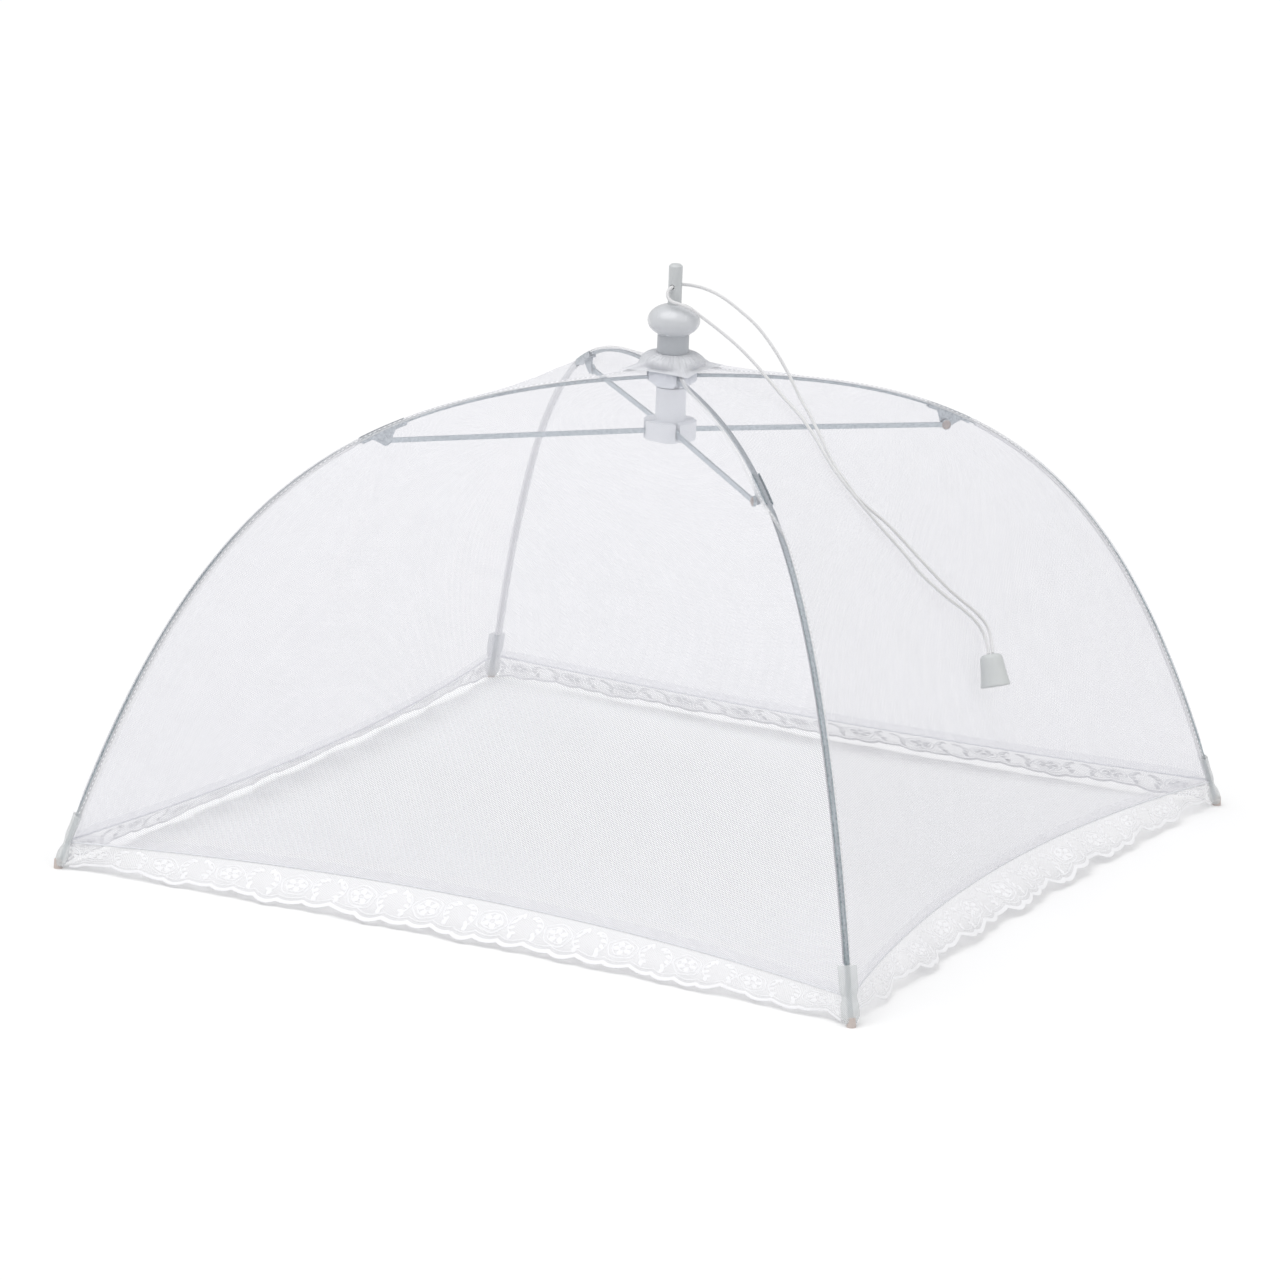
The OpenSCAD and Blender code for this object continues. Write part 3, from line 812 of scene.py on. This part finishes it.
def plastic(name, colour, rough, speckle=0.03, coat=0.0):
    """Moulded plastic: slight tone clouds, faint moulding grain and uneven gloss."""
    m, tree, shader = new_material(name)
    place = place_of(tree)
    clouds = noise(tree, place, 90, 3)
    tone(tree, shader, clouds, darker(colour, speckle), colour, 0.3, 0.7)
    tree.links.new(mapped(tree, clouds, rough - 0.05, rough + 0.07), shader.inputs["Roughness"])
    emboss(tree, shader, noise(tree, place, 1400), 0.12)
    put(shader, Coat_Weight=coat, Coat_Roughness=0.12)
    return m


def metal(name, colour, dark, rough):
    """Drawn and plated steel: fine scratches, darker spots where the plating is thin."""
    m, tree, shader = new_material(name)
    place = place_of(tree)
    spots = noise(tree, place, 900, 6)
    tone(tree, shader, spots, dark, colour, 0.35, 0.62)
    tree.links.new(mapped(tree, spots, rough + 0.1, rough - 0.05), shader.inputs["Roughness"])
    emboss(tree, shader, noise(tree, place, 1600), 0.2, 0.08 * MM)
    put(shader, Metallic=1.0)
    return m


def honeycomb(tree, pitch):
    """Three crossing waves: lowest on the threads of a hexagonal net and highest in its holes."""
    k = 4 * math.pi / (math.sqrt(3) * pitch)
    x, y = split_place(tree)
    waves = [plane_wave(tree, x, y, k * math.cos(turn), k * math.sin(turn), "COSINE")
             for turn in (0.0, math.pi / 3, -math.pi / 3)]
    return math_node(tree, "ADD", math_node(tree, "ADD", waves[0], waves[1]), waves[2])


def net_cloth(name, colour, pitch, level, soft, thread_alpha, hole_alpha=0.0, shade=0.05):
    """Knitted net: open hexagonal holes, slightly uneven threads, a soft sheen."""
    m, tree, shader = new_material(name)
    thread = mapped(tree, honeycomb(tree, pitch), hole_alpha, thread_alpha, level + soft, level - soft)
    tone(tree, shader, noise(tree, cloth_place(tree), 60, 4), darker(colour, shade), colour, 0.3, 0.7)
    tree.links.new(thread, shader.inputs["Alpha"])
    emboss(tree, shader, thread, 0.3)
    put(shader, Roughness=0.7, Sheen_Weight=0.15, Specular_IOR_Level=0.25)
    return m


def woven(name, colour, pitch, alpha, shade=0.08):
    """Close plain weave of white yarn, a little see-through, with painted shade where the weave is low."""
    m, tree, shader = new_material(name)
    x, y = split_place(tree)
    k = 2 * math.pi / pitch
    over = math_node(tree, "SINE", math_node(tree, "MULTIPLY", x, k))
    under = math_node(tree, "SINE", math_node(tree, "MULTIPLY", y, k))
    weave = math_node(tree, "MULTIPLY", over, under)
    # painted shade: the yarn's colour is darker, by shade, where the weave's bump is low
    tone(tree, shader, weave, darker(colour, shade), colour, 0.1, 0.8)
    see_through = mapped(tree, weave, alpha - 0.12, min(1, alpha + 0.12), start=-1)
    tree.links.new(see_through, shader.inputs["Alpha"])
    emboss(tree, shader, weave, 0.4)
    put(shader, Roughness=0.75, Sheen_Weight=0.2)
    return m


def thread_cloth(name, colour, scale, shade=0.1):
    """Opaque twisted thread: fine uneven ridges, with painted shade in their low parts."""
    m, tree, shader = new_material(name)
    twist = noise(tree, place_of(tree), scale, 3)
    # painted shade: the thread's colour is darker, by shade, where the twist's bump is low
    tone(tree, shader, twist, darker(colour, shade), colour, 0.35, 0.65)
    emboss(tree, shader, twist, 0.5)
    put(shader, Roughness=0.7, Sheen_Weight=0.25)
    return m


def braid(name, colour, pitch=1.1 * MM, turns=6):
    """Round braided cord: crossing diagonal strands, pitch apart along it, with painted shade in the grooves
    between them.
    """
    m, tree, shader = new_material(name)
    x, y = split_place(tree)
    around = turns / (CORD_D / 2)
    left, right = (plane_wave(tree, x, y, way * around, 2 * math.pi / pitch, "SINE") for way in (-1, 1))
    raised = math_node(tree, "MAXIMUM", left, right)
    # painted shade: the colour darkens where the strands are low, in the grooves between them
    tone(tree, shader, raised, [c * 0.72 for c in colour], colour, 0.0, 0.8)
    emboss(tree, shader, raised, 0.5)
    put(shader, Roughness=0.6, Sheen_Weight=0.2)
    return m


def dress(pieces, material):
    for piece in pieces:
        piece.data.materials.clear()
        piece.data.materials.append(material)


def dress_nodes(names, material):
    for name in names:
        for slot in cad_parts[name].material_slots:
            slot.link = "OBJECT"
            slot.material = material


net_material = net_cloth("net", (0.78, 0.78, 0.84), 0.95 * MM, -0.62, 0.45, 0.56, 0.14)
hem_material = net_cloth("net_hem", (0.84, 0.84, 0.88), 0.9 * MM, -0.5, 0.35, 0.45, 0.05)
lace_material = net_cloth("lace_ground", (0.89, 0.89, 0.91), 1.1 * MM, -0.45, 0.35, 0.75, 0.12, 0.03)
cone_material = net_cloth("net_gathered", (0.74, 0.75, 0.78), 0.8 * MM, -0.1, 0.5, 0.95, 0.62)
rose_material = thread_cloth("lace_thread", (0.92, 0.92, 0.94), 1500, 0.05)
seam_material = thread_cloth("seam_thread", (0.80, 0.81, 0.84), 1500)
tape_material = woven("seam_tape", (0.88, 0.88, 0.90), 0.7 * MM, 0.5)
sleeve_material = woven("rib_sleeve", (0.98, 0.98, 1.0), 0.7 * MM, 0.88, 0.03)
pocket_material = woven("pocket_cloth", (0.80, 0.82, 0.83), 0.8 * MM, 0.62)
cord_material = braid("cord_braid", (0.86, 0.86, 0.87))
bell_material = plastic("bell_plastic", (0.60, 0.62, 0.62), 0.5)

dress(nets.values(), net_material)
dress(hems.values(), hem_material)
dress(seams.values(), seam_material)
dress(lace_pieces.values(), lace_material)
dress(rose_pieces.values(), rose_material)
dress([cone], cone_material)
dress(tapes.values(), tape_material)
dress(sleeves.values(), sleeve_material)
dress(stitches.values(), rose_material)
dress(pockets.values(), pocket_material)
dress([cord_loop] + [s for s, _ in strands], cord_material)
dress([bell], bell_material)

# The knob's plastic is white; its grey base colour is painted shade over the whole knob, and the white top
# comes from the coat's gloss.
dress_nodes(["knob"], plastic("knob_plastic_painted_shade", (0.62, 0.635, 0.66), 0.26, 0.02, 0.55))
# The collar is the knob's white plastic; its darker grey base colour is painted shade from the knob above it.
dress_nodes(["collar"], plastic("collar_plastic_painted_shade", (0.50, 0.52, 0.55), 0.42))
dress_nodes(["top_notch"], plastic("notch_plastic", (0.76, 0.79, 0.84), 0.45))
dress_nodes(["pull_rod"], plastic("rod_plastic", (0.58, 0.60, 0.61), 0.40))
dress_nodes(["runner"], plastic("runner_plastic", (0.80, 0.82, 0.85), 0.42))
dress_nodes(["top_ring", "runner_ring"], metal("ring_steel", (0.50, 0.53, 0.56), (0.30, 0.32, 0.35), 0.35))
corner_materials = {
    "rib": metal("rib_steel", (0.42, 0.48, 0.51), (0.24, 0.28, 0.30), 0.34),
    "clip": metal("clip_steel", (0.52, 0.57, 0.60), (0.26, 0.30, 0.33), 0.32),
    "strut": metal("strut_steel", (0.54, 0.60, 0.63), (0.32, 0.38, 0.41), 0.36),
    "rivet": metal("rivet_brass", (0.42, 0.34, 0.29), (0.26, 0.21, 0.19), 0.38),
    "tip": plastic("tip_plastic", (0.58, 0.51, 0.48), 0.5),
}
for part, material in corner_materials.items():
    dress_nodes([part + "_" + corner for corner in RIBS], material)


# ---- Floor and light ----

FLOOR_HALF = 14


def floor_piece():
    h = FLOOR_HALF
    piece = new_piece("floor", [(-h, -h, 0), (h, -h, 0), (h, h, 0), (-h, h, 0)], [(0, 1, 2, 3)])
    m, tree, shader = new_material("floor_paper")
    put(shader, Base_Color=(0.93, 0.93, 0.93, 1), Roughness=0.9, Specular_IOR_Level=0.1)
    piece.data.materials.append(m)


floor_piece()


def soft_sun(name, direction, width, strength):
    data = bpy.data.lights.new(name, "SUN")
    data.angle, data.energy = math.radians(width), strength
    lamp = bpy.data.objects.new(name, data)
    scene.collection.objects.link(lamp)
    lamp.rotation_euler = Vector(direction).to_track_quat("-Z", "Y").to_euler()


soft_sun("key", (0.28, 0.42, -1.3), 55, 1.35)
soft_sun("fill", (-0.9, 0.2, -1.3), 70, 0.5)
world = bpy.data.worlds.new("studio")
scene.world = world
world.use_nodes = True
put(world.node_tree.nodes["Background"], Color=(1.0, 1.0, 1.0, 1), Strength=0.58)
scene.view_settings.view_transform = "Standard"
